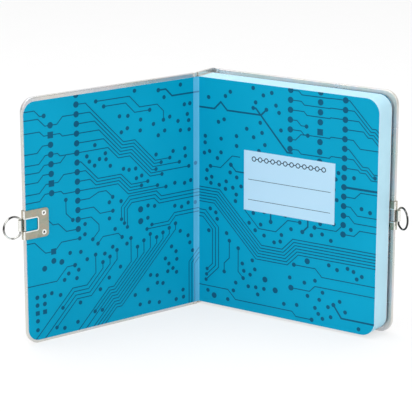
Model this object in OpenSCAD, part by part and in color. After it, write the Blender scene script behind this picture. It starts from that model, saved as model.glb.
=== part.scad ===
// Hardback lock diary, standing open on its lower edges.
// Each half is drawn flat in its own frame: x runs from the gutter to the fore-edge,
// y is the depth away from the reader and z is the height above the table.
// The two halves are then turned to the opening angle about the gutter.

/* [Cover] */
// Width of the closed book, from the back of the spine to the fore-edge
cover_w = 139.7; // [110:0.1:180]
// Height of the covers
cover_h = 158.75; // [120:0.05:220]
// Thickness of the greyboard in the covers
board_t = 2; // [1.5:0.1:3]
// Thickness of the metallic foil paper, glued to its backing
foil_t = 0.2; // [0.15:0.05:0.3]
// Radius of the covers' rounded corners
cover_corner_r = 9; // [4:0.5:14]
// Width of the foil turned in over the inside of a cover
turn_in = 15; // [10:1:20]

/* [Spine] */
// Thickness of the board in the spine
spine_board_t = 1.5; // [1:0.1:2.2]
// Width of the board in the spine
spine_board_w = 16.8; // [12:0.1:22]
// How far the open book's spine sits behind the front of its pages
spine_setback = 1; // [0.8:0.1:2]
// Thickness of the gauze and paper glued to the back of the sections
lining_t = 0.8; // [0.5:0.1:1.2]
// Gap between the lining and the spine board
hollow_gap = 0.2; // [0.1:0.05:0.3]
// Width of the bare joint between the block's back and a cover board
joint_w = 4.5; // [4.2:0.1:8]
// Thickness of the foil and gauze where they cross a joint
joint_t = 0.4; // [0.3:0.05:0.5]

/* [Pages] */
// How far the covers reach past the pages at the fore-edge
square_fore = 3; // [2:0.1:5]
// How far the covers reach past the pages at the head
square_head = 2.65; // [1.5:0.05:5]
// How far the covers reach past the pages at the tail
square_tail = 1.9; // [1.5:0.05:5]
// Radius of the pages' rounded corners
page_corner_r = 9.5; // [4:0.5:14]
// Number of folded sections
section_count = 13; // [6:1:16]
// Thickness of one folded section of eight leaves
section_t = 1.16; // [0.6:0.02:1.8]
// Air between neighbouring sections
section_gap = 0.04; // [0.02:0.01:0.1]
// Thickness of a flyleaf
flyleaf_t = 0.2; // [0.15:0.05:0.3]

/* [Endpapers] */
// Thickness of the paper pasted inside a cover
pastedown_t = 0.15; // [0.1:0.05:0.3]
// Foil left showing between the pastedown and the fore-edge
pastedown_margin = 0.9; // [0.5:0.1:3]
// Air between a closed cover and the flyleaf, at the gutter
cover_gap = 0.3; // [0.2:0.05:0.5]

/* [Name plate] */
// Width of the name plate on the front flyleaf
plate_w = 68.2; // [40:0.1:90]
// Height of the name plate
plate_h = 40.1; // [20:0.1:60]
// Distance from the gutter to the name plate
plate_from_gutter = 35.3; // [20:0.1:50]
// Height of the name plate's lower edge above the table
plate_from_foot = 71.4; // [40:0.1:90]
// Thickness of the name plate's paper
plate_t = 0.1; // [0.05:0.05:0.2]

/* [Clips] */
// Height of a clip along the fore-edge
clip_h = 18.6; // [14:0.1:24]
// Reach of a clip's legs over the cover
clip_leg = 17.4; // [14:0.1:22]
// Thickness of the sheet steel
clip_t = 0.6; // [0.5:0.05:0.7]
// Height of the clips' centre above the table
clip_z = 78.6; // [60:0.1:100]
// Radius of a leg's free corners
clip_corner_r = 2.2; // [1:0.1:4]
// Height of the window pressed out of the inner leg
window_h = 7.9; // [7.4:0.1:9]
// Reach of the window over the cover
window_leg = 9.3; // [6:0.1:11]
// Radius of the window's corners
window_corner_r = 1; // [0.5:0.1:2]
// Width of the raised rim round the window
rim_w = 0.7; // [0.4:0.1:1]
// Height of the raised rim round the window
rim_t = 0.2; // [0.1:0.05:0.3]
// Height of the tab rolled round the ring
knuckle_h = 7; // [5:0.1:7.2]
// Distance from the cover's fore-edge to the ring's axis
knuckle_out = 2.2; // [2:0.1:3]

/* [Rivets] */
// Distance between the two rivets of a clip
rivet_pitch = 12.5; // [11:0.1:14]
// Distance from the fore-edge to the rivets
rivet_inset = 13.8; // [12.5:0.1:15]
// Radius of a rivet's barrel
rivet_r = 1.1; // [0.9:0.05:1.3]
// Radius of the hole down a hollow rivet
rivet_bore_r = 0.7; // [0.4:0.05:0.8]
// Radius of a rivet's rolled flanges
rivet_flange_r = 1.7; // [1.5:0.05:1.9]
// Thickness of a rivet's rolled flanges
rivet_flange_t = 0.3; // [0.2:0.05:0.4]

/* [Rings] */
// Radius of the ring's wire
wire_r = 0.65; // [0.5:0.05:0.8]
// Radius of the ring's round bow, to the middle of the wire
bow_r = 6.95; // [6.5:0.05:9]
// Length of the ring's straight side, between the middles of its corners
bar_len = 9.6; // [9.4:0.1:11]

/* [Pose] */
// Angle between the open covers
opening = 108; // [70:1:150]
// Angle at which a closed cover rests on its clip
clip_lift = 0.5; // [0.4:0.1:1]
// Turn of the back ring towards the pages
back_ring_turn = 35; // [0:1:60]

/* [Hidden] */
$fn = 48;
SECTIONS = [for (k = [1:section_count]) str("section_", k < 10 ? "0" : "", k)];
COVER_NODES = ["board", "cover_foil", "pastedown", "clip", "clip_rivets", "ring",
               "foil_joint", "endpaper_joint"];

// Running fit between the ring's wire and the tab rolled round it
knuckle_clear = 0.08;
// Fit of a rivet's barrel in its holes
rivet_clear = 0.05;
// Air between a clip's web and the fore-edge, which is also the bend's inner radius
web_gap = 0.3;
// Slit left where the rolled tab comes back to itself
roll_slit = 0.5;
// Air left round the flexible joints at rest
joint_clear = 0.1;
// Overlap that keeps cuts and joined solids clean
eps = 0.01;

half_turn = (180 - opening) / 2;
spine_back = lining_t + hollow_gap + spine_board_t + foil_t;
fore_edge = cover_w - spine_back;
page_w = fore_edge - square_fore;
page_z0 = square_tail;
page_z1 = cover_h - square_head;
block_t = 2 * flyleaf_t + section_count * (section_t + section_gap);
pastedown_edge = fore_edge - pastedown_margin;
pastedown_corner_r = cover_corner_r - pastedown_margin;

// Depths in a cover's own frame, whose zero is the face of the pages that it closes on
pastedown_y = cover_gap;
foil_in_y = pastedown_y + pastedown_t;
board_y = foil_in_y + foil_t;
foil_out_y = board_y + board_t;
cover_out_y = foil_out_y + foil_t;

clip_in_y = pastedown_y - clip_t;
clip_out_y = cover_out_y + clip_t;
clip_in_x = fore_edge - clip_leg;
clip_web_x = fore_edge + web_gap;
clip_out_x = clip_web_x + clip_t;
bend_r = web_gap + clip_t;
rivet_x = fore_edge - rivet_inset;

knuckle_bore_r = wire_r + knuckle_clear;
knuckle_r = knuckle_bore_r + clip_t;
knuckle_x = fore_edge + knuckle_out;
knuckle_y = clip_out_y - knuckle_r;
// The ring's centre lies this far from its straight side
bow_centre = sqrt(bow_r * bow_r - bar_len * bar_len / 4);
// The ring hangs down until its upper corner meets the end of the rolled tab
ring_drop = bar_len / 2 - wire_r - knuckle_h / 2 - eps * 5;
ring_reach = bow_centre + bow_r + wire_r;

// The box of the standing book is centred on the origin
left_x = -(knuckle_x + bow_centre + bow_r) * cos(half_turn) - knuckle_y * sin(half_turn) - wire_r;
right_x = knuckle_x * cos(half_turn - clip_lift) + (block_t + knuckle_y) * sin(half_turn)
          + (bow_centre + bow_r) * cos(half_turn - clip_lift + back_ring_turn) + wire_r;
near_y = -(knuckle_x + bow_centre + bow_r) * sin(half_turn) + knuckle_y * cos(half_turn) - wire_r;
far_y = spine_back * sin(half_turn) + (spine_setback + spine_board_w) * cos(half_turn);
centre = [(left_x + right_x) / 2, (near_y + far_y) / 2, 0];

silver = "silver";
print_blue = "deepskyblue";
page_blue = "lightblue";

// Frames

module right_half() translate(-centre) rotate([0, 0, -half_turn]) children();
module left_half() translate(-centre) mirror([1, 0, 0]) rotate([0, 0, -half_turn]) children();
module front_cover_frame() left_half() children();
module back_cover_frame()
    right_half() translate([0, block_t, 0]) rotate([0, 0, clip_lift]) children();

// A plate standing in the plane of a half, y0 deep and t thick
module upright(y0, t)
    translate([0, y0 + t, 0]) rotate([90, 0, 0]) linear_extrude(t) children();

// Outline from x0 to x1 and z0 to z1 with its two corners at x1 rounded
module leaf_outline(x0, x1, z0, z1, r) {
    translate([x0, z0]) square([x1 - x0 - r, z1 - z0]);
    translate([x1 - r - eps, z0 + r]) square([r + eps, z1 - z0 - 2 * r]);
    for (z = [z0 + r, z1 - r])
        translate([x1 - r, z]) circle(r, $fn = 96);
}

// Strip of even thickness along a row of points, rounded where it bends
module strip_outline(points, t)
    for (k = [1:len(points) - 1]) {
        step = points[k] - points[k - 1];
        translate(points[k - 1])
            rotate(atan2(step.y, step.x))
                translate([0, -t / 2]) square([norm(step), t]);
        if (k < len(points) - 1)
            translate(points[k]) circle(t / 2);
    }

// Covers

module cover_outline(inset)
    leaf_outline(joint_w + inset, fore_edge - inset, inset, cover_h - inset,
                 cover_corner_r - inset);

// The part of the board's inside that the turned-in foil leaves bare
module bare_outline()
    leaf_outline(joint_w + foil_t, fore_edge - turn_in, turn_in, cover_h - turn_in, eps * 10);

module rivet_holes(r)
    for (side = [-1, 1])
        translate([rivet_x, -cover_out_y, clip_z + side * rivet_pitch / 2])
            rotate([-90, 0, 0]) cylinder(h = 3 * cover_out_y, r = r);

module board_body() {
    upright(board_y, board_t) cover_outline(foil_t);
    upright(foil_in_y, foil_t + eps) bare_outline();
}

module cover_board()
    color("dimgray") difference() {
        board_body();
        rivet_holes(rivet_r + rivet_clear);
    }

module cover_foil()
    color(silver) difference() {
        upright(foil_in_y, cover_out_y - foil_in_y) cover_outline(0);
        upright(board_y, board_t) cover_outline(foil_t);
        upright(foil_in_y - eps, foil_t + 2 * eps) bare_outline();
        rivet_holes(rivet_r + rivet_clear);
    }

module pastedown()
    color(print_blue) difference() {
        upright(pastedown_y, pastedown_t)
            leaf_outline(joint_w, pastedown_edge, page_z0, page_z1, pastedown_corner_r);
        rivet_holes(rivet_r + rivet_clear);
    }

// Clips

module window_outline(grow)
    mirror([1, 0])
        leaf_outline(-fore_edge - bend_r * 2, -fore_edge + window_leg + grow,
                     clip_z - window_h / 2 - grow, clip_z + window_h / 2 + grow,
                     window_corner_r + grow);

// Cross-section of the folded sheet, open towards the gutter
module folded_sheet_outline()
    difference() {
        leaf_outline(clip_in_x, clip_out_x, clip_in_y, clip_out_y, bend_r);
        leaf_outline(clip_in_x - eps, clip_web_x, pastedown_y, cover_out_y, web_gap);
    }

module leg_outline()
    mirror([1, 0])
        leaf_outline(-clip_out_x - eps, -clip_in_x, clip_z - clip_h / 2, clip_z + clip_h / 2,
                     clip_corner_r);

module rolled_tab() {
    translate([0, 0, clip_z - knuckle_h / 2]) difference() {
        union() {
            translate([knuckle_x, knuckle_y, 0]) cylinder(h = knuckle_h, r = knuckle_r);
            translate([fore_edge - bend_r, cover_out_y, 0])
                cube([knuckle_out + bend_r, clip_t, knuckle_h]);
        }
        translate([knuckle_x, knuckle_y, -eps])
            cylinder(h = knuckle_h + 2 * eps, r = knuckle_bore_r);
        translate([knuckle_x - 2 * knuckle_r, cover_out_y - roll_slit, -eps])
            cube([2 * knuckle_r, roll_slit, knuckle_h + 2 * eps]);
    }
}

module clip()
    color(silver) {
        difference() {
            intersection() {
                translate([0, 0, clip_z - clip_h / 2]) linear_extrude(clip_h) folded_sheet_outline();
                upright(clip_in_y - eps, clip_out_y - clip_in_y + 2 * eps) leg_outline();
            }
            upright(clip_in_y - eps, cover_out_y - clip_in_y + eps) window_outline(0);
            rivet_holes(rivet_r + rivet_clear);
        }
        window_rim();
        rolled_tab();
    }

module window_rim()
    intersection() {
        upright(clip_in_y - rim_t, rim_t + eps) difference() {
            window_outline(rim_w);
            window_outline(0);
        }
        translate([clip_in_x, clip_in_y - clip_t, 0]) cube([clip_leg, 2 * clip_t, cover_h]);
    }

module clip_rivets()
    color("gainsboro")
        for (side = [-1, 1])
            translate([rivet_x, 0, clip_z + side * rivet_pitch / 2]) rotate([-90, 0, 0])
                difference() {
                    union() {
                        translate([0, 0, clip_in_y])
                            cylinder(h = clip_out_y - clip_in_y, r = rivet_r);
                        for (z = [clip_in_y - rivet_flange_t, clip_out_y])
                            translate([0, 0, z]) cylinder(h = rivet_flange_t, r = rivet_flange_r);
                    }
                    translate([0, 0, clip_in_y - 2 * rivet_flange_t])
                        cylinder(h = clip_out_y - clip_in_y + 4 * rivet_flange_t, r = rivet_bore_r);
                }

// Ring whose straight side lies in the rolled tab and whose bow points along x
module ring(turn)
    color(silver) translate([knuckle_x, knuckle_y, clip_z - ring_drop]) rotate([0, 0, -turn]) {
        translate([0, 0, -bar_len / 2]) cylinder(h = bar_len, r = wire_r);
        for (side = [-1, 1]) translate([0, 0, side * bar_len / 2]) sphere(wire_r);
        difference() {
            translate([bow_centre, 0, 0]) rotate([90, 0, 0])
                rotate_extrude($fn = 96) translate([bow_r, 0]) circle(wire_r);
            translate([-ring_reach, -ring_reach, -ring_reach])
                cube([ring_reach, 2 * ring_reach, 2 * ring_reach]);
        }
    }

// Flexible joints between the spine and the covers

// A point of the front cover's frame, given in the right half's frame
function from_front(x, y) =
    [x * cos(opening) - y * sin(opening), -x * sin(opening) - y * cos(opening)];

joint_y = foil_in_y + joint_clear + joint_t / 2;
joint_end_x = joint_w - joint_clear - joint_t / 2;

module foil_joint_strip(points)
    color(silver) right_half() linear_extrude(cover_h) strip_outline(points, joint_t);

module front_foil_joint()
    foil_joint_strip([
        [-spine_back + joint_t / 2, spine_setback - foil_t - joint_clear],
        from_front(joint_w / 3, joint_y + joint_t),
        from_front(joint_w * 2 / 3, joint_y),
        from_front(joint_end_x, joint_y + joint_t),
        from_front(joint_end_x, foil_out_y)
    ]);

module back_foil_joint()
    foil_joint_strip([
        [-spine_back + joint_t, spine_setback + spine_board_w + foil_t + joint_clear + joint_t / 2],
        [joint_w / 8, spine_setback + spine_board_w + foil_t + joint_clear + joint_t / 2],
        [joint_w / 3, block_t + joint_y + joint_t],
        [joint_end_x - joint_clear, block_t + joint_y + joint_t],
        [joint_end_x - joint_clear, block_t + foil_out_y]
    ]);

module endpaper_joint()
    color(print_blue) upright(pastedown_y, pastedown_t)
        translate([cover_gap, page_z0]) square([joint_w - joint_clear - cover_gap,
                                                page_z1 - page_z0]);

// Spine

module spine_board()
    color("dimgray") right_half()
        translate([-spine_back + foil_t, spine_setback, foil_t])
            cube([spine_board_t, spine_board_w, cover_h - 2 * foil_t]);

module spine_foil()
    color(silver) right_half() difference() {
        translate([-spine_back, spine_setback - foil_t, 0])
            cube([foil_t + spine_board_t, spine_board_w + 2 * foil_t, cover_h]);
        translate([-spine_back + foil_t, spine_setback, foil_t])
            cube([spine_board_t + eps, spine_board_w, cover_h - 2 * foil_t]);
    }

module spine_lining()
    color("ivory") right_half()
        translate([-lining_t, flyleaf_t, page_z0]) cube([lining_t, block_t - 2 * flyleaf_t,
                                                        page_z1 - page_z0]);

// Pages

module leaf(y0, t)
    upright(y0, t) leaf_outline(0, page_w, page_z0, page_z1, page_corner_r);

module front_flyleaf() color(print_blue) right_half() leaf(0, flyleaf_t);
module back_flyleaf() color(print_blue) right_half() leaf(block_t - flyleaf_t, flyleaf_t);

module section(k)
    color(page_blue) right_half()
        leaf(flyleaf_t + section_gap / 2 + (k - 1) * (section_t + section_gap), section_t);

module name_plate()
    color(page_blue) right_half() upright(-plate_t, plate_t)
        translate([plate_from_gutter, plate_from_foot]) square([plate_w, plate_h]);

front_cover_frame() cover_board();  // front_board
front_cover_frame() cover_foil();  // front_cover_foil
front_cover_frame() pastedown();  // front_pastedown
front_cover_frame() clip();  // front_clip
front_cover_frame() clip_rivets();  // front_clip_rivets
front_cover_frame() ring(0);  // front_ring
front_foil_joint();
front_cover_frame() endpaper_joint();  // front_endpaper_joint
back_cover_frame() cover_board();  // back_board
back_cover_frame() cover_foil();  // back_cover_foil
back_cover_frame() pastedown();  // back_pastedown
back_cover_frame() clip();  // back_clip
back_cover_frame() clip_rivets();  // back_clip_rivets
back_cover_frame() ring(back_ring_turn);  // back_ring
back_foil_joint();
back_cover_frame() endpaper_joint();  // back_endpaper_joint
spine_board();
spine_foil();
spine_lining();
front_flyleaf();
back_flyleaf();
name_plate();
for (k = [1:section_count])
    section(k);
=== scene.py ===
import math

import bmesh
import bpy
import numpy as np
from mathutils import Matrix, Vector
from mathutils.geometry import delaunay_2d_cdt


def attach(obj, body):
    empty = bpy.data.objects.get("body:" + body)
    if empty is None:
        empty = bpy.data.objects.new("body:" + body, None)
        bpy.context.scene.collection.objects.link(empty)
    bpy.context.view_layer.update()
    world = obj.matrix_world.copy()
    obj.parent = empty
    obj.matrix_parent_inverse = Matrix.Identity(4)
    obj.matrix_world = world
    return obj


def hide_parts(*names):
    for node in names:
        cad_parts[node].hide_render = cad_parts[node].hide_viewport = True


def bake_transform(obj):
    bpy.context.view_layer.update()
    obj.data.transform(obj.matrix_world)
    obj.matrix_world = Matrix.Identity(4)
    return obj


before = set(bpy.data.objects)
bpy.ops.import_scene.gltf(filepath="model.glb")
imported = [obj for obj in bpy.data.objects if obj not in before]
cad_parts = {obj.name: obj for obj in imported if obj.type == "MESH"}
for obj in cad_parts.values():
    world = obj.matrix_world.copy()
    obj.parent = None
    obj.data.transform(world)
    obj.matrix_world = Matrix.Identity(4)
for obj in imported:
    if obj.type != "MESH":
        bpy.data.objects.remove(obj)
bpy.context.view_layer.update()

# The camera stands in front of the book, a little to its left, and looks down on it from
# the height of a tripod. Its place and lens come from a fit to the edges in the photo.
camera = bpy.data.objects.new("camera", bpy.data.cameras.new("camera"))
camera.data.lens = 158.59
camera.data.sensor_width = 36.0
camera.data.clip_start = 0.05
camera.data.clip_end = 50.0
camera.location = (-0.04163, -1.13039, 0.38658)
camera.rotation_euler = (math.radians(90 - 15.26), 0.0, math.radians(-2.156))
bpy.context.scene.collection.objects.link(camera)
bpy.context.scene.camera = camera
bpy.context.scene.view_settings.view_transform = "Standard"


# The book stands on a white sheet of paper board in a small studio. Large softboxes hang in
# front on the right and overhead, a narrow one stands on the left, and pale walls fill in.
def new_material(name):
    """A material with a Principled shader, as (material, its nodes, its links, the shader)."""
    material = bpy.data.materials.new(name)
    material.use_nodes = True
    nodes = material.node_tree.nodes
    return material, nodes, material.node_tree.links, nodes["Principled BSDF"]


def object_noise(nodes, links, scale, detail=4.0, roughness=0.55, stretch=(1.0, 1.0, 1.0)):
    """The output of a noise texture in object coordinates, stretched along the three axes."""
    place = nodes.new("ShaderNodeTexCoord")
    turn = nodes.new("ShaderNodeMapping")
    turn.inputs["Scale"].default_value = stretch
    noise = nodes.new("ShaderNodeTexNoise")
    noise.inputs["Scale"].default_value = scale
    noise.inputs["Detail"].default_value = detail
    noise.inputs["Roughness"].default_value = roughness
    links.new(place.outputs["Object"], turn.inputs["Vector"])
    links.new(turn.outputs["Vector"], noise.inputs["Vector"])
    return noise.outputs["Fac"]


def ramp(nodes, links, factor, stops):
    """A colour ramp read at factor, from stops of (position, (red, green, blue))."""
    node = nodes.new("ShaderNodeValToRGB")
    elements = node.color_ramp.elements
    while len(elements) < len(stops):
        elements.new(0.5)
    for element, (position, colour) in zip(elements, stops):
        element.position = position
        element.color = (*colour, 1.0)
    links.new(factor, node.inputs["Fac"])
    return node.outputs["Color"]


def bump(nodes, links, height, distance, strength=1.0, normal=None):
    """A bump of the given height in metres, added to normal where there is one."""
    node = nodes.new("ShaderNodeBump")
    node.inputs["Distance"].default_value = distance
    node.inputs["Strength"].default_value = strength
    links.new(height, node.inputs["Height"])
    if normal is not None:
        links.new(normal, node.inputs["Normal"])
    return node.outputs["Normal"]


def shade_smooth_to(mesh, angle):
    """Edges bent by less than angle, in degrees, are shaded smooth.

    Faces of over 4 square millimetres are flat, so that they don't take on an edge's slope.
    """
    mesh.shade_smooth()
    mesh.set_sharp_from_angle(angle=math.radians(angle))
    area = np.zeros(len(mesh.polygons), np.float32)
    mesh.polygons.foreach_get("area", area)
    mesh.polygons.foreach_set("use_smooth", area < 4e-6)


def new_piece(name, points, faces, materials, slots=None, smooth_to=None):
    """A mesh object of points in metres, with one material index per face where slots is given.

    Where smooth_to is given, it is shaded smooth up to that angle.
    """
    mesh = bpy.data.meshes.new(name)
    mesh.from_pydata(np.asarray(points, float).tolist(), [], faces)
    for material in materials:
        mesh.materials.append(material)
    if slots is not None:
        mesh.polygons.foreach_set("material_index", np.asarray(slots, np.int32))
    mesh.update()
    if smooth_to is not None:
        shade_smooth_to(mesh, smooth_to)
    piece = bpy.data.objects.new(name, mesh)
    bpy.context.scene.collection.objects.link(piece)
    return piece


def studio_floor():
    """A floor of 8 by 8 m at z 0, which the camera and the metal see as white but for shadows.

    They see 0.65 of plain white and 0.35 of the lit board; all else sees the lit board alone.
    """
    material, nodes, links, shader = new_material("studio_floor")
    grain = object_noise(nodes, links, 40.0)
    tint = ramp(nodes, links, grain, [(0.0, (0.83, 0.83, 0.83)), (1.0, (0.86, 0.86, 0.86))])
    links.new(tint, shader.inputs["Base Color"])
    shader.inputs["Roughness"].default_value = 0.9
    shader.inputs["Specular IOR Level"].default_value = 0.1
    white = nodes.new("ShaderNodeEmission")
    white.inputs["Color"].default_value = (1.0, 1.0, 1.0, 1.0)
    white.inputs["Strength"].default_value = 1.0
    ray = nodes.new("ShaderNodeLightPath")
    mirrored = nodes.new("ShaderNodeMath")
    mirrored.operation = "MAXIMUM"
    links.new(ray.outputs["Is Glossy Ray"], mirrored.inputs[0])
    links.new(ray.outputs["Is Transmission Ray"], mirrored.inputs[1])
    seen = nodes.new("ShaderNodeMath")
    seen.operation = "MAXIMUM"
    links.new(ray.outputs["Is Camera Ray"], seen.inputs[0])
    links.new(mirrored.outputs["Value"], seen.inputs[1])
    share = nodes.new("ShaderNodeMath")
    share.operation = "MULTIPLY"
    share.inputs[1].default_value = 0.65
    links.new(seen.outputs["Value"], share.inputs[0])
    both = nodes.new("ShaderNodeMixShader")
    links.new(share.outputs["Value"], both.inputs["Fac"])
    links.new(shader.outputs["BSDF"], both.inputs[1])
    links.new(white.outputs["Emission"], both.inputs[2])
    links.new(both.outputs["Shader"], nodes["Material Output"].inputs["Surface"])
    corners = [(-4, -4, 0), (4, -4, 0), (4, 4, 0), (-4, 4, 0)]
    return new_piece("studio_floor", corners, [(0, 1, 2, 3)], [material])


def softbox(name, place, aim, width, height, power):
    """A rectangular area light at place, facing aim."""
    light = bpy.data.lights.new(name, "AREA")
    light.shape = "RECTANGLE"
    light.size = width
    light.size_y = height
    light.energy = power
    box = bpy.data.objects.new(name, light)
    bpy.context.scene.collection.objects.link(box)
    way = np.array(aim, float) - np.array(place, float)
    box.location = place
    box.rotation_euler = (
        math.atan2(math.hypot(way[0], way[1]), -way[2]),
        0.0,
        math.atan2(way[1], way[0]) - math.pi / 2,
    )
    return box


def studio_walls():
    """A world of grey walls in front and a white backdrop behind, under a white ceiling.

    The brightness is the greater of a ramp over the height of the ray's direction and one
    over its share towards the back.
    """
    world = bpy.data.worlds.new("studio_walls")
    bpy.context.scene.world = world
    world.use_nodes = True
    nodes = world.node_tree.nodes
    links = world.node_tree.links
    way = nodes.new("ShaderNodeTexCoord")
    split = nodes.new("ShaderNodeSeparateXYZ")
    links.new(way.outputs["Generated"], split.inputs["Vector"])
    ceiling = ramp(nodes, links, split.outputs["Z"], [
        (0.0, (0.34, 0.34, 0.34)),
        (0.25, (0.36, 0.36, 0.36)),
        (0.6, (0.80, 0.80, 0.80)),
        (1.0, (1.0, 1.0, 1.0)),
    ])
    backdrop = ramp(nodes, links, split.outputs["Y"], [
        (0.05, (0.0, 0.0, 0.0)),
        (0.45, (1.0, 1.0, 1.0)),
    ])
    brighter = nodes.new("ShaderNodeMix")
    brighter.data_type = "RGBA"
    brighter.blend_type = "LIGHTEN"
    brighter.inputs["Factor"].default_value = 1.0
    links.new(ceiling, brighter.inputs["A"])
    links.new(backdrop, brighter.inputs["B"])
    links.new(brighter.outputs["Result"], nodes["Background"].inputs["Color"])
    nodes["Background"].inputs["Strength"].default_value = 0.95


floor = studio_floor()
studio_walls()
key = softbox("softbox_right", (0.6, -1.5, 0.9), (0.0, 0.0, 0.08), 1.3, 1.3, 11.0)
top = softbox("softbox_top", (-0.2, 0.1, 1.6), (0.0, 0.0, 0.0), 1.6, 1.6, 14.0)
strip = softbox("strip_left", (-1.25, -1.1, 0.45), (0.0, 0.0, 0.08), 0.3, 0.9, 5.0)


# Each cover is greyboard wrapped in silver foil paper, which is glued on and turned in over
# the inner face. The wrap is drawn as one skin round the board with its edges pressed round.
half_turn = math.radians(36)
gutter_across = -2.2115
gutter_away = 35.9032
back_cover_turn = math.radians(0.5)
block_depth = 16
cover_height = 158.75
joint_width = 4.5
fore_edge = 137


def from_right(points):
    """Points of the right half's frame in mm, as metres in the row frame.

    x' = x cos 36 + y sin 36 - 2.2115, y' = y cos 36 - x sin 36 + 35.9032, z' = z.
    """
    x, y, z = np.asarray(points, float).T
    across = x * math.cos(half_turn) + y * math.sin(half_turn) + gutter_across
    away = y * math.cos(half_turn) - x * math.sin(half_turn) + gutter_away
    return np.column_stack([across, away, z]) / 1000


def from_left(points):
    """Points of the front cover's frame in mm, as metres in the row frame.

    The mirror image of the right half about the gutter: x' = -(x cos 36 + y sin 36) - 2.2115.
    """
    mirrored = from_right(points)
    mirrored[:, 0] = 2 * gutter_across / 1000 - mirrored[:, 0]
    return mirrored


def from_back_cover(points):
    """Points of the back cover's frame in mm, as metres in the row frame.

    The frame is turned by 0.5 degrees, moved 16 mm behind the front of the pages and then
    goes with the right half: (x cos 0.5 - y sin 0.5, 16 + x sin 0.5 + y cos 0.5, z).
    """
    x, y, z = np.asarray(points, float).T
    along = x * math.cos(back_cover_turn) - y * math.sin(back_cover_turn)
    deep = block_depth + x * math.sin(back_cover_turn) + y * math.cos(back_cover_turn)
    return from_right(np.column_stack([along, deep, z]))


def outward(faces, place):
    """The faces as they are, or turned over where place mirrors them."""
    return [face[::-1] for face in faces] if place is from_left else faces


def rounded_outline(x0, x1, z0, z1, radius, stops, arc_steps=12):
    """A closed outline, anticlockwise from (x0, z0), with its two corners at x1 rounded.

    The lower edge has a point at each of stops, then a quarter circle; the upper edge is the
    lower one mirrored about the middle height.
    """
    turn = np.radians(np.linspace(-90, 0, arc_steps + 1))
    arc = np.column_stack([x1 - radius + radius * np.cos(turn),
                           z0 + radius + radius * np.sin(turn)])
    run = np.array([x for x in stops if x0 < x < x1 - radius - 0.5])
    lower = np.vstack([[[x0, z0]], np.column_stack([run, np.full(len(run), z0)]), arc])
    upper = np.column_stack([lower[::-1, 0], z0 + z1 - lower[::-1, 1]])
    return np.vstack([lower, upper])


def bands(rings, length):
    """Quads between successive rings of length points, facing out where the depth grows."""
    here = np.arange(rings - 1)[:, None] * length
    one = np.arange(length)[None, :]
    after = (one + 1) % length
    corners = [here + one, here + length + one, here + length + after, here + after]
    return np.stack(corners, axis=-1).reshape(-1, 4).tolist()


def cap(start, length, away):
    """Quads across a ring, each from the lower edge to the mirrored points of the upper one."""
    low = np.arange(length // 2 - 1)
    corners = [low, low + 1, length - 2 - low, length - 1 - low]
    quads = (start + np.stack(corners, axis=-1)).tolist()
    return [quad[::-1] for quad in quads] if away else quads


def stood_up(flat, depth):
    """Points (x, z) as points (x, depth, z), with one depth for all or one for each."""
    return np.column_stack([flat[:, 0], np.broadcast_to(depth, len(flat)), flat[:, 1]])


def slab(name, rings, place, material, smooth_to=None):
    """A closed piece from outlines one behind the other, with a cap before and behind."""
    count = len(rings[0])
    faces = bands(len(rings), count) + cap(0, count, False)
    faces += cap((len(rings) - 1) * count, count, True)
    return new_piece(name, place(np.vstack(rings)), outward(faces, place), [material],
                     smooth_to=smooth_to)


def cover_wrap(name, place, material):
    """The foil round a board: rings of the cover's outline, set in by each step of a profile.

    The profile runs over (inset, depth) from the roof of the board's room at 2.65 mm, round
    the turned-in edge at 15 mm and two pressed edges of 0.6 mm radius to the outer face.
    """
    pressed = 0.6
    turn_in = 15
    foil_depth = 0.2
    inner_face = 0.45
    board_face = 0.65
    board_back = 2.65
    outer_face = 2.85
    corner = 9
    arc = np.radians(np.linspace(0, 90, 6))
    near = np.column_stack([pressed - pressed * np.sin(arc),
                            inner_face + pressed - pressed * np.cos(arc)])
    far = np.column_stack([pressed - pressed * np.cos(arc),
                           outer_face - pressed + pressed * np.sin(arc)])
    room = [[foil_depth, board_back], [foil_depth, board_face], [turn_in, board_face],
            [turn_in, inner_face]]
    stops = np.linspace(20, 120, 11)
    rings = []
    for inset, depth in np.vstack([room, near, far]):
        flat = rounded_outline(joint_width + inset, fore_edge - inset, inset,
                               cover_height - inset, max(corner - inset, 0.1), stops)
        rings.append(stood_up(flat, depth))
    return slab(name, rings, place, material, smooth_to=35)


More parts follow.
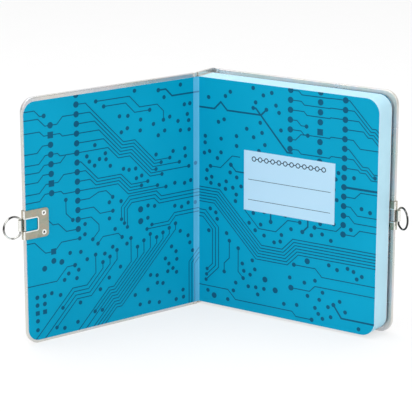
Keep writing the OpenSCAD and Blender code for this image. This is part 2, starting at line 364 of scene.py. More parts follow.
def foil_paper():
    """Brushed silver foil, with a faint shift of rose, green and blue in slow slanting waves."""
    material, nodes, links, shader = new_material("foil_paper")
    place = nodes.new("ShaderNodeTexCoord")
    slant = nodes.new("ShaderNodeMapping")
    slant.inputs["Rotation"].default_value = (0, math.radians(35), math.radians(20))
    waves = nodes.new("ShaderNodeTexWave")
    waves.inputs["Scale"].default_value = 7.0
    waves.inputs["Distortion"].default_value = 5.0
    waves.inputs["Detail"].default_value = 1.0
    waves.inputs["Detail Scale"].default_value = 1.5
    links.new(place.outputs["Object"], slant.inputs["Vector"])
    links.new(slant.outputs["Vector"], waves.inputs["Vector"])
    tint = ramp(nodes, links, waves.outputs["Fac"], [
        (0.0, (0.615, 0.640, 0.600)),
        (0.35, (0.675, 0.640, 0.640)),
        (0.65, (0.625, 0.640, 0.665)),
        (1.0, (0.680, 0.665, 0.620)),
    ])
    brushed = object_noise(nodes, links, 900.0, 4.0, 0.6, (1.0, 1.0, 0.03))
    streaks = ramp(nodes, links, brushed, [(0.3, (0.92, 0.92, 0.92)), (0.7, (1.0, 1.0, 1.0))])
    both = nodes.new("ShaderNodeMix")
    both.data_type = "RGBA"
    both.blend_type = "MULTIPLY"
    both.inputs["Factor"].default_value = 1.0
    links.new(tint, both.inputs["A"])
    links.new(streaks, both.inputs["B"])
    links.new(both.outputs["Result"], shader.inputs["Base Color"])
    shader.inputs["Metallic"].default_value = 0.78
    worn = ramp(nodes, links, object_noise(nodes, links, 35.0, 5.0, 0.6), [
        (0.35, (0.22, 0.22, 0.22)),
        (0.65, (0.36, 0.36, 0.36)),
    ])
    links.new(worn, shader.inputs["Roughness"])
    ripples = object_noise(nodes, links, 80.0, 2.0)
    soft = bump(nodes, links, ripples, 0.0003, 0.35)
    links.new(bump(nodes, links, brushed, 0.00003, 0.5, soft), shader.inputs["Normal"])
    return material


def greyboard():
    """Pressed grey board with short flecks of paper fibre."""
    material, nodes, links, shader = new_material("greyboard")
    flecks = object_noise(nodes, links, 700.0, 6.0, 0.7, (1.0, 1.0, 0.4))
    tint = ramp(nodes, links, flecks, [
        (0.35, (0.16, 0.15, 0.14)),
        (0.55, (0.27, 0.26, 0.24)),
        (0.7, (0.36, 0.35, 0.33)),
    ])
    links.new(tint, shader.inputs["Base Color"])
    shader.inputs["Roughness"].default_value = 0.9
    links.new(bump(nodes, links, flecks, 0.00008, 0.6), shader.inputs["Normal"])
    return material


def paint(node, material):
    """A CAD node keeps its shape and takes this material on all its slots."""
    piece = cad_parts[node]
    for slot in piece.material_slots:
        slot.material = material


foil = foil_paper()
board = greyboard()
for side, place in (("front", from_left), ("back", from_back_cover)):
    wrap = cover_wrap(side + "_cover_wrap", place, foil)
    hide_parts(side + "_cover_foil")
    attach(wrap, side + "_cover")
    paint(side + "_board", board)


# The spine is a strip of greyboard in the same foil. Between it and each cover the foil runs
# on alone over gauze, pressed into a groove, where the real foil bends as the cover swings;
# here it is drawn in one shape.
def spine_wrap(name, material):
    """The foil round the spine board: a rounded rectangle carried up the spine.

    Its section is 17.2 by 1.75 mm with corners of 0.35 mm radius. Near either end, at
    0.35 (1 - sin t) from it, it is smaller all round by 0.35 (1 - cos t).
    """
    corner = 0.35
    round_off = np.radians(np.linspace(0, 90, 6))
    quarter = np.column_stack([np.cos(round_off), np.sin(round_off)])
    arcs = []
    for x, y, turn in ((-1.3, 17.65, 0), (-2.35, 17.65, 90), (-2.35, 1.15, 180), (-1.3, 1.15, 270)):
        angle = math.radians(turn)
        spin = np.array([[math.cos(angle), math.sin(angle)], [-math.sin(angle), math.cos(angle)]])
        arcs.append((np.array([x, y]), quarter @ spin))
    lift = corner * (1 - np.sin(round_off))
    shrink = corner * (1 - np.cos(round_off))
    heights = np.concatenate([lift[::-1], [40, 80, 120], cover_height - lift])
    widths = corner - np.concatenate([shrink[::-1], [0, 0, 0], shrink])
    rings = []
    for height, width in zip(heights, widths):
        flat = np.vstack([middle + width * arc for middle, arc in arcs])
        rings.append(np.column_stack([flat, np.full(len(flat), height)]))
    count = len(rings[0])
    faces = [face[::-1] for face in bands(len(rings), count)]
    faces.append(list(range(count))[::-1])
    faces.append(list(range((len(rings) - 1) * count, len(rings) * count)))
    return new_piece(name, from_right(np.vstack(rings)), faces, [material], smooth_to=35)


def rounded_path(points, rounds):
    """A path with its corners cut at a quarter and three quarters of each side, rounds times."""
    path = np.asarray(points, float)
    for _ in range(rounds):
        near = 0.75 * path[:-1] + 0.25 * path[1:]
        far = 0.25 * path[:-1] + 0.75 * path[1:]
        inner = np.stack([near, far], axis=1).reshape(-1, 2)
        path = np.vstack([path[:1], inner, path[-1:]])
    return path


def joint_sheet(name, path, thickness, material):
    """A strip of even thickness along a path in (x, y), standing 158.75 mm tall.

    Each side lies half the thickness off the path, along the normal of its direction.
    """
    way = np.gradient(path, axis=0)
    way /= np.linalg.norm(way, axis=1)[:, None]
    normal = np.column_stack([-way[:, 1], way[:, 0]])
    section = np.vstack([path + normal * thickness / 2, (path - normal * thickness / 2)[::-1]])
    rim = 0.15
    heights = np.concatenate([[0, rim], np.linspace(10, 150, 15),
                              [cover_height - rim, cover_height]])
    rings = [np.column_stack([section, np.full(len(section), height)]) for height in heights]
    count = len(section)
    half = len(path)
    one = np.arange(half - 1)
    end = np.stack([one, one + 1, count - 2 - one, count - 1 - one], axis=-1)
    faces = bands(len(rings), count) + end.tolist()
    faces += [face[::-1] for face in (end + (len(rings) - 1) * count).tolist()]
    sheet = new_piece(name, from_right(np.vstack(rings)), faces, [material])
    sheet.data.shade_smooth()
    sheet.data.set_sharp_from_angle(angle=math.radians(50))
    return sheet


def row_point(x, y, z=79.0, place=from_right):
    """One point of a half's frame in mm, as metres in the row frame."""
    return tuple(place([[x, y, z]])[0])


spine_skin = spine_wrap("spine_wrap", foil)
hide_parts("spine_foil")
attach(spine_skin, "spine")
paint("spine_board", board)

joint_depth = 0.4
front_groove = rounded_path([(-2.35, 0.72), (-1.62, -0.7), (-1.5, -1.6), (-1.66, -2.6),
                             (-2.4, -3.55), (-3.7, -3.3)], 3)
front_joint = joint_sheet("front_foil_hinge", front_groove[::-1], joint_depth, foil)
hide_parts("front_foil_joint")
row_point(-2.0, 0.5)
row_point(-2.0, -3.3)
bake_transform(front_joint)

back_groove = rounded_path([(-2.2, 18.25), (-0.6, 18.3), (0.7, 18.1), (1.6, 17.2), (3.0, 17.0),
                            (4.0, 17.3), (4.1, 18.6)], 3)
back_joint = joint_sheet("back_foil_hinge", back_groove[::-1], joint_depth, foil)
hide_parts("back_foil_joint")
row_point(-0.8, 18.2)
row_point(4.0, 18.2)
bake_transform(back_joint)


# The backs of the sections are glued together and lined with gauze and kraft paper, which
# hides in the hollow between them and the spine board.
def gauze_lining():
    """Pale gauze: crossed threads 0.5 mm apart over paper."""
    material, nodes, links, shader = new_material("gauze_lining")
    place = nodes.new("ShaderNodeTexCoord")
    threads = nodes.new("ShaderNodeTexBrick")
    threads.inputs["Scale"].default_value = 1000.0
    threads.inputs["Mortar Size"].default_value = 0.1
    threads.inputs["Brick Width"].default_value = 0.5
    threads.inputs["Row Height"].default_value = 0.5
    threads.inputs["Color1"].default_value = (0.66, 0.62, 0.55, 1)
    threads.inputs["Color2"].default_value = (0.69, 0.65, 0.58, 1)
    threads.inputs["Mortar"].default_value = (0.79, 0.77, 0.72, 1)
    turned = nodes.new("ShaderNodeMapping")
    turned.inputs["Rotation"].default_value = (math.radians(90), 0, half_turn)
    links.new(place.outputs["Object"], turned.inputs["Vector"])
    links.new(turned.outputs["Vector"], threads.inputs["Vector"])
    links.new(threads.outputs["Color"], shader.inputs["Base Color"])
    shader.inputs["Roughness"].default_value = 0.9
    links.new(bump(nodes, links, threads.outputs["Fac"], 0.0001, 0.7), shader.inputs["Normal"])
    return material


paint("spine_lining", gauze_lining())


# The pages are thirteen sewn sections of eight leaves in pale blue paper. Their backs stay
# glued to the spine, where a real section bends near the gutter as it turns; here each is flat.
page_width = 134
page_foot = 1.9
page_head = 156.1
page_corner = 9.5
flyleaf_depth = 0.2
section_pitch = 1.2
bend_stops = [1, 2, 3, 4.5, 6, 8, 10, 12, 15, 18, 22, 27]


def page_paper():
    """Pale blue writing paper, faintly mottled, with fine tooth."""
    material, nodes, links, shader = new_material("page_paper")
    mottle = object_noise(nodes, links, 30.0, 3.0)
    tint = ramp(nodes, links, mottle, [
        (0.3, (0.47, 0.70, 0.80)),
        (0.7, (0.50, 0.74, 0.84)),
    ])
    links.new(tint, shader.inputs["Base Color"])
    shader.inputs["Roughness"].default_value = 0.8
    shader.inputs["Specular IOR Level"].default_value = 0.25
    tooth = object_noise(nodes, links, 1500.0, 3.0)
    links.new(bump(nodes, links, tooth, 0.00002, 0.4), shader.inputs["Normal"])
    return material


def section_of_leaves(name, number, material):
    """One section: the leaf's outline carried through its depth, with a groove at each leaf.

    Leaf j of 8 runs over a depth of 0.145 mm. Its edge stands at inset 0.03 + 0.03 sin(2.4 n)
    for the n-th leaf of the book, and falls in by 0.05 mm at the grooves.
    """
    leaf_depth = 0.145
    groove = 0.05
    groove_slope = 0.03
    front = flyleaf_depth + 0.02 + (number - 1) * section_pitch
    leaves = np.arange(8)
    edge = 0.03 + 0.03 * np.sin(2.4 * (number * 8 + leaves))
    start = front + leaves * leaf_depth
    insets = np.stack([edge + groove, edge, edge, edge + groove], axis=1).ravel()
    depths = np.stack([start, start + groove_slope, start + leaf_depth - groove_slope,
                       start + leaf_depth], axis=1).ravel()
    stops = bend_stops + [45, 70, 95, 115]
    rings = []
    for inset, depth in zip(insets, depths):
        flat = rounded_outline(0, page_width - inset, page_foot + inset, page_head - inset,
                               page_corner - inset, stops)
        rings.append(stood_up(flat, depth))
    return slab(name, rings, from_right, material)


paper = page_paper()
for number in range(1, 14):
    body = f"section_{number:02d}"
    leaves = section_of_leaves(f"leaves_{number:02d}", number, paper)
    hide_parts(body)
    deep = 0.8 + (number - 1) * section_pitch
    row_point(0.2, deep)
    row_point(26.0, deep)
    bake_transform(leaves)


# The endpapers are coated paper printed in bright blue with a made-up circuit: round and
# square pads, small through-holes, and thin lines that turn by 45 degrees, some in bundles.
def ribbon(points, width):
    """Quads along a line of points, half the width off it on both sides, mitred at its bends."""
    line = np.asarray(points, float)
    left, right = beside(line, width / 2), beside(line, -width / 2)
    return list(np.stack([right[:-1], right[1:], left[1:], left[:-1]], axis=1))


def beside(points, distance):
    """The line moved sideways: each point along the mean normal, distance / cos(half bend)."""
    line = np.asarray(points, float)
    way = np.diff(line, axis=0)
    way /= np.linalg.norm(way, axis=1)[:, None]
    normal = np.column_stack([-way[:, 1], way[:, 0]])
    before = np.vstack([normal[:1], normal])
    after = np.vstack([normal, normal[-1:]])
    middle = before + after
    return line + distance * 2 * middle / np.sum(middle * middle, axis=1)[:, None]


def pad(centre, radius, sides=20):
    """A round pad, as a regular polygon about centre."""
    turn = np.arange(sides) * 2 * math.pi / sides
    return np.asarray(centre, float) + radius * np.column_stack([np.cos(turn), np.sin(turn)])


def square_pad(centre, half):
    """A square pad of twice half across."""
    return np.asarray(centre, float) + half * np.array([[-1, -1], [1, -1], [1, 1], [-1, 1]])


def stepped(start, steps):
    """The points of a line from start by steps of (across, up)."""
    return np.vstack([start, np.asarray(start, float) + np.cumsum(np.asarray(steps, float), axis=0)])


def net(start, steps, width=0.66, first=1.35, last=1.35):
    """A line from start by steps, with a round pad at each end that has one."""
    line = stepped(start, steps)
    shapes = ribbon(line, width)
    for point, radius in ((line[0], first), (line[-1], last)):
        if radius:
            shapes.append(pad(point, radius, 16))
    return shapes


def bundle(start, steps, count, pitch, width=0.66, stagger=0.0, last=1.3):
    """Lines side by side, pitch apart, each ending stagger further on than the one before."""
    line = stepped(start, steps)
    tip = (line[-1] - line[-2]) / np.linalg.norm(line[-1] - line[-2])
    shapes = []
    for number in range(count):
        one = beside(line, (number - (count - 1) / 2) * pitch)
        one[-1] += tip * stagger * number
        shapes += ribbon(one, width)
        if last:
            shapes.append(pad(one[-1], last, 16))
    return shapes


def column(x, top, count, pitch, radius=2.05, squares=()):
    """Pads one below the other, with squares in place of some."""
    shapes = []
    for number in range(count):
        centre = (x, top - number * pitch)
        if number in squares:
            shapes.append(square_pad(centre, radius))
        else:
            shapes.append(pad(centre, radius))
    return shapes


def holes_at(points, radius=1.4):
    """Small round through-holes at the given points."""
    return [pad(point, radius, 16) for point in points]


def gather(x, top, pitch, count, start, level, run, drop, ends, spacing=2.2, width=0.66):
    """Lines from a column of pads that draw together as they go down to the right.

    Line k leaves its pad level, turns down by 45 degrees at start + (pitch - 1.41 spacing) k,
    and levels off at level - spacing k. After run it goes down once more by drop and then on
    to its own end.
    """
    shapes = []
    for number in range(count):
        high = top - pitch * number
        low = level - spacing * number
        turn = start + (pitch - 1.414 * spacing) * number
        flat = turn + high - low
        second = start + top - level + run - 0.414 * spacing * number
        line = [(x, high), (turn, high), (flat, low), (second, low),
                (second + drop, low - drop), (ends[number % len(ends)] + 0.9 * number, low - drop)]
        shapes += ribbon(line, width)
        shapes.append(pad(line[-1], 1.35, 16))
    return shapes


def comb(left, pitch, count, top, bend, level, reach, tails, spacing=2.1, width=0.66):
    """Lines that hang from a row of holes, turn down to the left, run level and turn down again.

    Line k stands at left + pitch k, turns at bend + (pitch - 1.41 spacing) k, levels off at
    level - spacing k and turns down at reach + 0.41 spacing k, for as long as its own tail.
    Its hole is at least 4 mm above its first turn.
    """
    shapes = []
    for number in range(count):
        x = left + pitch * number
        turn = bend + (pitch - 1.414 * spacing) * number
        high = max(top - 3.4 * (number * 5 % 3), turn + 4)
        low = level - spacing * number
        last = reach + 0.414 * spacing * number
        tail = tails[number % len(tails)]
        line = [(x, high), (x, turn), (x - turn + low, low), (last, low), (last - tail, low - tail)]
        shapes += ribbon(line, width)
        shapes.append(pad(line[0], 1.4, 16))
        shapes.append(pad(line[-1], 1.35, 16))
    return shapes


def scatter(shapes, box, count, seed, clear=2.6):
    """Up to count holes in the box (x0, x1, z0, z1), each clear of every other shape.

    Trial points come from a seeded generator. The clearance is measured to points 0.8 mm
    apart along the edges of the shapes.
    """
    edges = np.vstack([np.stack([shape, np.roll(shape, -1, axis=0)], axis=1) for shape in shapes])
    long = np.linalg.norm(edges[:, 1] - edges[:, 0], axis=1)
    steps = np.maximum(np.ceil(long / 0.8).astype(int), 1)
    which = np.repeat(np.arange(len(edges)), steps)
    share = (np.arange(len(which)) - np.repeat(np.cumsum(steps) - steps, steps)) / steps[which]
    marks = edges[which, 0] + share[:, None] * (edges[which, 1] - edges[which, 0])
    chance = np.random.default_rng(seed)
    trials = chance.uniform((box[0], box[2]), (box[1], box[3]), (count * 12, 2))
    free = np.min(np.linalg.norm(trials[:, None] - marks[None], axis=2), axis=1) > clear
    chosen = []
    for point in trials[free]:
        if len(chosen) < count and all(math.dist(point, other) > 4.2 for other in chosen):
            chosen.append(point)
    return holes_at(chosen)


def circuit_of_cover():
    """The print inside the cover, on 136 by 158 mm with the fore-edge at x 0."""
    edge_pads = 19.5
    inner_pads = 39
    pitch = 6.2
    art = column(edge_pads, 139.5, 8, pitch, squares=(1, 6))
    art += column(inner_pads, 156.2, 15, pitch)
    for number, drop in enumerate((-5, -3, 4, 5, 4, 4, 5, 4)):
        high = 139.5 - pitch * number
        art += net((edge_pads, high), [(-4 - number % 3, 0), (-abs(drop), -drop), (-30, 0)],
                   first=0, last=0)
        if number not in (2, 5):
            rise = -1.9 if number % 2 else 4.3
            art += net((edge_pads, high), [(5 + number % 3 * 2, 0), (abs(rise), rise), (9, 0)],
                       first=0, last=0)
    art += net((-2, 150), [(10, 0), (4, -4), (3, 0)], first=0, last=1.5)
    art += gather(inner_pads, 150, pitch, 6, 46, 121, 9, 16, (112, 104, 118, 98, 124, 101), 2.0)
    art += gather(inner_pads, 112.8, pitch, 4, 42, 100, 18, 8, (94, 88, 100, 106), 2.0)
    art += net((54, 150), [(26, 0), (8, -8), (14, 0), (5, -5), (0, -6)], first=1.4, last=1.4)
    art += net((60, 146), [(17, 0), (7, -7), (12, 0)], first=1.4, last=1.4)
    art += net((140, 146), [(-26, 0), (-5, 5), (-6, 0)], 1.1, 0, 1.5)
    art += net((inner_pads, 88), [(9, 0), (7, 3), (6, 0), (5, -5)], first=0, last=1.4)
    art += net((inner_pads, 81.8), [(12, 0), (5, -5), (10, 0)], first=0, last=1.4)
    art += net((inner_pads, 75.6), [(10, 0), (6, -6), (0, -4), (-5, -5)], first=0, last=1.4)
    art += net((inner_pads, 69.4), [(-9, 0), (-6, 6), (-4, 0), (-6, 6)], first=0, last=1.3)
    art += net((30, 90), [(0, -9), (5, -5)], first=1.4, last=1.4)
    art += net((54, 57), [(4, 4), (12, 0), (3, -3)], first=1.4, last=1.4)
    art += bundle((140, 78), [(-36, 0), (-4, 4), (-20, 0), (-5, -5), (0, -7)], 3, 2.3, stagger=3.0)
    art += bundle((140, 66), [(-24, 0), (-5, -5), (-14, 0)], 2, 2.3, stagger=4.0)
    art += holes_at([(88, 74), (88, 66)], 2.1)
    art += comb(80, 5.2, 8, 56, 40, 26, 62, (60, 12, 60, 8, 60, 60, 14, 60))
    art += comb(52, 5.6, 4, 50, 38, 31, 34, (60, 9, 60, 16), 2.6)
    art += bundle((140, 40), [(-10, -10), (0, -30)], 3, 2.4, last=0)
    art += net((20, 58), [(1, 0), (5, 5), (14, 0)], first=0, last=1.4)
    art += net((-2, 66), [(8, 0), (8, -8), (6, 0)], first=0, last=0)
    art += net((-2, 38), [(24, 0), (8, 8), (6, 0)], first=0, last=1.5)
    art += column(7, 30, 4, 5.2, 1.5, (2,)) + column(12.5, 30, 3, 5.2, 1.5, (2,))
    art += column(20, 58, 2, 6.2, 1.9, (0,)) + holes_at([(26, 50), (13, 48)], 1.9)
    art += scatter(art, (84, 134, 118, 154), 16, 3)
    art += scatter(art, (44, 134, 62, 112), 30, 5)
    art += scatter(art, (4, 134, 4, 60), 44, 8)
    art += scatter(art, (44, 80, 112, 140), 8, 11)
    return art


def circuit_of_leaf():
    """The print on a flyleaf, on 134 by 158 mm with the gutter at x 0."""
    middle_pads = 70
    edge_pads = 110
    wide_pitch = 6.4
    pitch = 6.2
    art = net((-3, 136), [(15, 0), (5, 5), (5, -5), (26, 0), (4, 4)], 1.2, 0, 1.4)
    art += net((42, 140), [(2, 0), (24, -26), (4, 0)], 1.2, 1.4, 0)
    art += column(middle_pads, 155, 7, wide_pitch) + column(92, 156, 8, wide_pitch, squares=(4,))
    art += column(edge_pads, 153, 15, pitch)
    for number in (0, 1, 2, 4, 6):
        early = 6 + number % 3 * 2
        late = 0.2 + 0.2 * number
        steps = [(early, 0), (2.2, -2.2), (26.8 - early, 0), (late, late), (11 - late, 0)]
        art += net((middle_pads, 155 - wide_pitch * number), steps, first=0, last=0)
    art += net((middle_pads, 135.8), [(5, 0), (3, -3), (4, 0)], first=0, last=1.4)
    art += net((middle_pads, 123), [(4, 0), (4, 4), (5, 0)], first=0, last=1.4)
    art += gather(edge_pads, 153, pitch, 4, 113, 137, 3, 6, (140, 141, 142, 143), 2.0)
    art += net((edge_pads, 128.2), [(6, 0), (5, -5), (20, 0)], first=0, last=0)
    art += gather(edge_pads, 122, pitch, 3, 113, 112, 4, 4, (140, 131, 140), 2.0)
    art += net((edge_pads, 97.2), [(30, 0)], 1.4, 0, 0)
    art += net((edge_pads, 91), [(8, 0), (4, 4), (14, 0)], first=0, last=1.4)
    art += net((edge_pads, 84.8), [(5, 0), (5, -5), (20, 0)], first=0, last=0)
    art += net((edge_pads, 78.6), [(4, 0), (4, -4), (20, 0)], first=0, last=0)
    art += net((edge_pads, 72.4), [(-5, -5), (-16, 0)], first=0, last=1.5)
    art += net((edge_pads, 66.2), [(8, 0), (4, 4), (16, 0)], first=0, last=0)
    art += net((32, 106), [(-6, 0), (-9, -9), (-8, 0)], first=0, last=1.4)
    art += net((38, 96), [(-9, 0), (-4, 4)], 0.9, 0, 1.5)
    art += net((56, 75), [(0, -9)], 1.1, 0, 1.5)
    art += net((84, 76), [(0, -9), (-4, -4)], 1.1, 0, 1.5)
    art += net((36, 75), [(0, -4), (11, -11), (13, 0), (9, 9), (9, 0)], first=0, last=1.4)
    art += bundle((-4, 77), [(18, 0), (33, -33), (20, 0), (8, 8), (70, 0)], 6, 2.0, last=0)
    art += bundle((-4, 64), [(8, 0), (9, -9), (0, -26), (-5, -5)], 3, 2.4, stagger=3)
    art += net((74, 40), [(16, 0), (5, -5), (50, 0)], first=1.5, last=0)
    art += net((24, 48), [(0, -12), (-4, -4), (0, -6)], first=1.4, last=1.4)
    art += net((31, 44), [(0, -16), (4, -4)], first=1.4, last=1.4)
    art += net((-3, 14), [(26, 0), (6, -6), (44, 0), (3, -3), (12, 0)], first=0, last=1.5)
    art += net((72, 24), [(14, 0), (4, 4), (50, 0)], first=2.0, last=0)
    art += net((104, 18), [(6, -8), (30, 0)], 1.2, 1.5, 0)
    art += holes_at([(60, 20), (52, 26), (84, 44), (12, 8)], 2.0)
    art += scatter(art, (4, 64, 108, 154), 26, 21)
    art += scatter(art, (3, 34, 50, 108), 22, 22)
    art += scatter(art, (36, 130, 40, 72), 22, 23)
    art += scatter(art, (3, 130, 4, 42), 30, 24)
    art += scatter(art, (98, 130, 74, 112), 12, 25)
    return art


def turned_about(art, width):
    """The same print turned by half a turn on a sheet of that width."""
    height = 158.0
    return [np.array([width, height]) - shape for shape in art]


def mirrored_over(art, width):
    """The same print with the fore-edge on the other side."""
    return [shape * np.array([-1.0, 1.0]) + np.array([width, 0.0]) for shape in art]


def coated_print(name, low, high, gloss=0.42):
    """Coated paper printed in one colour, which drifts from low to high in soft clouds."""
    material, nodes, links, shader = new_material(name)
    clouds = object_noise(nodes, links, 16.0, 2.0, 0.5)
    tint = ramp(nodes, links, clouds, [(0.3, low), (0.7, high)])
    links.new(tint, shader.inputs["Base Color"])
    shader.inputs["Roughness"].default_value = gloss
    shader.inputs["Specular IOR Level"].default_value = 0.06
    tooth = object_noise(nodes, links, 1200.0, 3.0)
    links.new(bump(nodes, links, tooth, 0.000015, 0.35), shader.inputs["Normal"])
    return material


def covered(points, shapes):
    """Which points lie in one of the convex shapes: on the same side of all its edges."""
    inside = np.zeros(len(points), bool)
    for shape in shapes:
        near = np.flatnonzero(np.all((points > shape.min(axis=0)) & (points < shape.max(axis=0)),
                                     axis=1))
        along = np.roll(shape, -1, axis=0) - shape
        away = points[near][:, None] - shape[None]
        side = along[:, 0] * away[..., 1] - along[:, 1] * away[..., 0]
        inside[near] |= np.all(side > 0, axis=1) | np.all(side < 0, axis=1)
    return inside


def printed_sheet(name, place, outline, depth, thickness, art, materials, stops=(),
                  holes=(), fold=None, far=False, dip=0.0):
    """A sheet whose printed side is cut along the outlines of its print.

    The outline, the print, the fold's strip and lines across at stops are laid over each
    other and cut into triangles. A triangle inside a shape of the print takes the ink's
    colour, one in the fold's strip the paler pair, a painted highlight for the light that the
    bend at the gutter catches. The plain side is the same net turned over, and walls as deep
    as the sheet join the two along their rims. Near the gutter the sheet falls by
    dip (1 - x / 1.2) squared. The materials are paper, ink, paper and ink painted paler at
    the fold as a highlight, and the plain side.
    """
    highlight_strips = [fold] if fold is not None else []
    shapes = [outline, *highlight_strips, *holes, *art]
    ends = np.cumsum([len(shape) for shape in shapes])
    rims = [np.column_stack([np.arange(end - len(shape), end),
                             np.roll(np.arange(end - len(shape), end), -1)])
            for shape, end in zip(shapes, ends)]
    lines = [[(stop, -9.0), (stop, 170.0)] for stop in stops]
    points = np.vstack(shapes + [np.array(line) for line in lines])
    crossings = ends[-1] + np.arange(2 * len(lines)).reshape(-1, 2)
    edges = np.vstack(rims + [crossings]).tolist()
    flat, _, triangles, _, _, _ = delaunay_2d_cdt(
        [Vector(point) for point in points], edges, [], 0, 1e-5, False)
    flat = np.array([tuple(point) for point in flat])
    triangles = np.array(triangles)
    middle = flat[triangles].mean(axis=1)
    kept = covered(middle, [outline]) & ~covered(middle, holes)
    triangles = triangles[kept]
    middle = middle[kept]
    # Slots 2 and 3 are the paler paper and ink: a painted highlight over the strip at the gutter.
    slots = (covered(middle, art) + 2 * covered(middle, highlight_strips)).tolist()
    used, net_faces = np.unique(triangles, return_inverse=True)
    net_faces = net_faces.reshape(-1, 3)
    flat = flat[used]
    count = len(flat)
    around = np.concatenate([net_faces[:, [0, 1]], net_faces[:, [1, 2]], net_faces[:, [2, 0]]])
    pairs = np.sort(around, axis=1)
    _, index, times = np.unique(pairs, axis=0, return_inverse=True, return_counts=True)
    rim = around[times[index.ravel()] == 1]
    printed, plain = (depth + thickness, depth) if far else (depth, depth + thickness)
    fall = dip * np.clip(1 - flat[:, 0] / 1.2, 0, 1) ** 2
    near = stood_up(flat, printed - fall)
    back = stood_up(flat, plain - fall)
    walls = np.column_stack([rim[:, 0], rim[:, 0] + count, rim[:, 1] + count, rim[:, 1]])
    faces = net_faces.tolist() + (net_faces[:, ::-1] + count).tolist() + walls.tolist()
    if far:
        faces = [face[::-1] for face in faces]
    slots += [4] * (len(net_faces) + len(walls))
    return new_piece(name, place(np.vstack([near, back])), outward(faces, place), materials,
                     slots)


blue = coated_print("endpaper_blue", (0.000, 0.298, 0.482), (0.001, 0.325, 0.525))
ink = coated_print("endpaper_ink", (0.002, 0.083, 0.165), (0.006, 0.100, 0.190))
# The paler pair is a painted highlight: where the endpaper bends over the joint at the gutter it
# catches the light.
fold_painted_highlight_blue = coated_print("fold_painted_highlight_blue", (0.095, 0.430, 0.660), (0.115, 0.460, 0.690))
fold_painted_highlight_ink = coated_print("fold_painted_highlight_ink", (0.070, 0.230, 0.400), (0.085, 0.255, 0.430))
reverse = coated_print("endpaper_reverse", (0.76, 0.80, 0.83), (0.80, 0.84, 0.87), 0.7)
finishes = [blue, ink, fold_painted_highlight_blue, fold_painted_highlight_ink, reverse]

cover_art = circuit_of_cover()
leaf_art = circuit_of_leaf()
joint_stops = [0.2, 0.4, 0.6, 0.9, 1.3, 1.8, 2.3, 2.8, 3.3, 3.8, 4.3]
rivet_across = 123.2
clip_middle = 78.6
rivet_off_middle = 6.25
hole_radius = 1.15
rivet_holes = [pad((rivet_across, clip_middle + side * rivet_off_middle), hole_radius, 24)
               for side in (-1, 1)]
pasted_width = 136.1
pasted_corner = 8.1
pasted_start = 0.3
pasted_depth = 0.15
pasted = rounded_outline(0.0, pasted_width, page_foot, page_head, pasted_corner, [])
back_pasted = rounded_outline(0.3, 133.2, page_foot, page_head, pasted_corner, [])
# The strip along the gutter where the paler pair is painted as a highlight.
gutter_highlight_strip = np.array([[-1.0, 0.0], [4.6, 0.0], [4.6, 160.0], [-1.0, 160.0]])

front_paste = printed_sheet(
    "front_endpaper", from_left, pasted, pasted_start, pasted_depth,
    mirrored_over(cover_art, pasted_width), finishes, joint_stops, rivet_holes, gutter_highlight_strip,
    dip=0.3)
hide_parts("front_pastedown", "front_endpaper_joint")
row_point(0.3, 0.3, place=from_left)
row_point(4.5, 0.3, place=from_left)
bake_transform(front_paste)

back_paste = printed_sheet(
    "back_endpaper", from_back_cover, back_pasted, pasted_start, pasted_depth,
    turned_about(cover_art, pasted_width), finishes, joint_stops, rivet_holes, gutter_highlight_strip)
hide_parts("back_pastedown", "back_endpaper_joint")
row_point(0.3, 0.3, place=from_back_cover)
row_point(4.5, 0.3, place=from_back_cover)
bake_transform(back_paste)

leaf = rounded_outline(0, page_width, page_foot, page_head, page_corner, [])
front_leaf = printed_sheet("front_flyleaf_print", from_right, leaf, 0, flyleaf_depth, leaf_art,
                           finishes, bend_stops)
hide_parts("front_flyleaf")
row_point(0.3, 0)
row_point(26.0, 0)
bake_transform(front_leaf)

back_art = mirrored_over(turned_about(leaf_art, page_width), page_width)
back_leaf = printed_sheet("back_flyleaf_print", from_right, leaf, block_depth - flyleaf_depth,
                          flyleaf_depth, back_art, finishes, bend_stops, far=True)
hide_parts("back_flyleaf")
row_point(0.3, 16)
row_point(26.0, 16)
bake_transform(back_leaf)


# The name plate is a slip of pale blue paper glued to the flyleaf. It is ruled for a name,
# under a plain printed chain of rings.
def ruled_plate():
    """Two rules of 0.35 mm and a chain of 12 rings, in millimetres on the flyleaf."""
    rule = 0.35
    chain_height = 106.3
    sides = 20
    link_start = 1.7
    art = ribbon([(38.5, 92.3), (100.4, 92.3)], rule)
    art += ribbon([(38.5, 78.7), (100.4, 78.7)], rule)
    across = np.linspace(42.9, 95.1, 12)
    after = np.roll(np.arange(sides), -1)
    for x in across:
        outer = pad((x, chain_height), 1.75, sides)
        inner = pad((x, chain_height), 1.1, sides)
        art += list(np.stack([outer, outer[after], inner[after], inner], axis=1))
    for x in across[:-1]:
        art += ribbon([(x + link_start, chain_height),
                       (x + across[1] - across[0] - link_start, chain_height)], 0.6)
    return art


plate_paper = coated_print("plate_paper", (0.44, 0.65, 0.80), (0.47, 0.68, 0.83), 0.6)
plate_ink = coated_print("plate_ink", (0.020, 0.035, 0.060), (0.030, 0.050, 0.080))
plate_outline = np.array([[35.3, 71.4], [103.5, 71.4], [103.5, 111.5], [35.3, 111.5]])
plate_depth = 0.1
plate = printed_sheet("ruled_name_plate", from_right, plate_outline, -plate_depth, plate_depth,
                      ruled_plate(), [plate_paper, plate_ink, plate_paper, plate_ink, plate_paper])
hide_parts("name_plate")
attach(plate, "front_flyleaf")


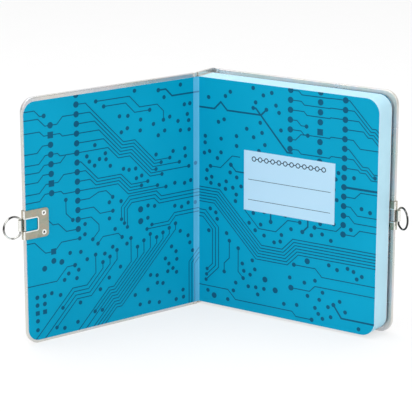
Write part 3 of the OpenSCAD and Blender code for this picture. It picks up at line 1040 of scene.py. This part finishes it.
# A clip folded from nickel-plated steel grips the fore-edge of each cover and is held by two
# hollow rivets. Its tab is rolled round the straight side of a ring bent from steel wire.
def nickel_plate(name, tones, rough):
    """Plated steel: fine drawn scratches along the clip, and patches that drift over tones.

    On the clip and rivets the patches are the metal's own uneven tone. The ring's tones, from
    black to near white, are painted dark reflections and painted highlights; the near-white
    tones of the edges are a painted highlight and the black ones of the bores painted shade.
    """
    material, nodes, links, shader = new_material(name)
    tarnish_and_painted_light = object_noise(nodes, links, 130.0, 3.0, 0.5)
    tint = ramp(nodes, links, tarnish_and_painted_light, tones)
    links.new(tint, shader.inputs["Base Color"])
    shader.inputs["Metallic"].default_value = 1.0
    wear = ramp(nodes, links, object_noise(nodes, links, 300.0, 5.0), [
        (0.3, (rough - 0.08,) * 3),
        (0.7, (rough + 0.1,) * 3),
    ])
    links.new(wear, shader.inputs["Roughness"])
    drawn = object_noise(nodes, links, 900.0, 3.0, 0.6, (1.0, 1.0, 0.06))
    links.new(bump(nodes, links, drawn, 0.00003, 0.5), shader.inputs["Normal"])
    return material


def in_cover(points, normals, place):
    """Points in a cover's frame, in mm, and how far their normals face into its depth.

    The inverse of the places above: with the frame's x and y directions u and v, a point p
    lies at x = (p - start) u, y = (p - start) v and its own height.
    """
    start, along, deep = place([[0, 0, 0], [1000, 0, 0], [0, 1000, 0]])[:, :2]
    axes = np.column_stack([along - start, deep - start])
    flat = (points[:, :2] - start) @ axes * 1000
    return np.column_stack([flat, points[:, 2] * 1000]), normals[:, :2] @ axes[:, 1]


def softened(node, name, width, body, finishes, place):
    """A merged copy of a CAD node with its edges rounded by width, which stands for the node.

    The finishes are the face; near-white metal on the rounded edges, the raised rim and the
    bends, a painted highlight where they catch the light; and near-black painted shade in
    the bores of the rivets, within 0.75 mm of their axes.
    """
    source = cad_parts[node]
    mesh = source.data.copy()
    mesh.name = name
    mesh.materials.clear()
    for finish in finishes:
        mesh.materials.append(finish)
    edit = bmesh.new()
    edit.from_mesh(mesh)
    bmesh.ops.remove_doubles(edit, verts=edit.verts, dist=1e-6)
    bmesh.ops.dissolve_limit(edit, angle_limit=math.radians(1), verts=edit.verts, edges=edit.edges)
    edit.to_mesh(mesh)
    edit.free()
    count = len(mesh.polygons)
    middles = np.zeros(count * 3)
    normals = np.zeros(count * 3)
    mesh.polygons.foreach_get("center", middles)
    mesh.polygons.foreach_get("normal", normals)
    spot, slope = in_cover(middles.reshape(-1, 3), normals.reshape(-1, 3), place)
    clip_face = -0.31
    # Faces of the raised rim, and of the bends picked by their slope, take slot 1: near-white metal,
    # a painted highlight where they catch the light.
    raised = spot[:, 1] < clip_face
    folded = (np.abs(slope) > 0.05) & (np.abs(slope) < 0.98)
    # Faces within the rivets' bores take slot 2: near-black painted shade for the depth of the
    # holes.
    off_axis = np.hypot(spot[:, 0] - rivet_across,
                        np.abs(spot[:, 2] - clip_middle) - rivet_off_middle)
    bore_shade_mask = (off_axis < 0.75) & (np.abs(slope) < 0.3)
    mesh.polygons.foreach_set("material_index", np.where(bore_shade_mask, 2, raised | folded))
    piece = bpy.data.objects.new(name, mesh)
    bpy.context.scene.collection.objects.link(piece)
    shade_smooth_to(mesh, 35)
    edge = piece.modifiers.new("rounded edges", "BEVEL")
    edge.width = width
    edge.segments = 2
    edge.limit_method = "ANGLE"
    edge.angle_limit = math.radians(40)
    edge.harden_normals = True
    # The rounded edges take slot 1: on the clip and rivets this is the near-white painted highlight.
    edge.material = 1
    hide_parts(node)
    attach(piece, body)


nickel = nickel_plate("nickel_plate", [
    (0.36, (0.33, 0.35, 0.26)),
    (0.46, (0.41, 0.41, 0.33)),
    (0.54, (0.45, 0.39, 0.30)),
    (0.64, (0.37, 0.39, 0.31)),
], 0.3)
rivet_nickel = nickel_plate("rivet_nickel", [
    (0.35, (0.48, 0.46, 0.40)),
    (0.6, (0.72, 0.70, 0.62)),
], 0.22)
# The ring's tones run from black to near white: painted dark reflections and painted highlights of a
# chrome wire.
ring_nickel = nickel_plate("ring_nickel", [
    (0.43, (0.05, 0.05, 0.05)),
    (0.50, (0.42, 0.42, 0.40)),
    (0.57, (0.85, 0.85, 0.81)),
], 0.2)
# Near-white metal for the edges, rim and bends of the clip and rivets: a painted highlight where
# they catch the light.
edge_highlight_metal = nickel_plate("edge_painted_highlight", [
    (0.35, (0.78, 0.78, 0.74)),
    (0.6, (0.93, 0.93, 0.90)),
], 0.14)
# Near-black metal for the rivets' bores: painted shade for the depth of the holes.
rivet_bore_painted_shade = nickel_plate("rivet_bore_painted_shade", [
    (0.4, (0.03, 0.03, 0.03)),
    (0.6, (0.07, 0.07, 0.06)),
], 0.5)
for side, place in (("front", from_left), ("back", from_back_cover)):
    softened(side + "_clip", side + "_clip_plate", 0.00015, side + "_cover",
             [nickel, edge_highlight_metal, rivet_bore_painted_shade], place)
    softened(side + "_clip_rivets", side + "_hollow_rivets", 0.00014, side + "_cover",
             [rivet_nickel, edge_highlight_metal, rivet_bore_painted_shade], place)
    softened(side + "_ring", side + "_wire_ring", 0.00001, side + "_ring",
             [ring_nickel, ring_nickel, ring_nickel], place)
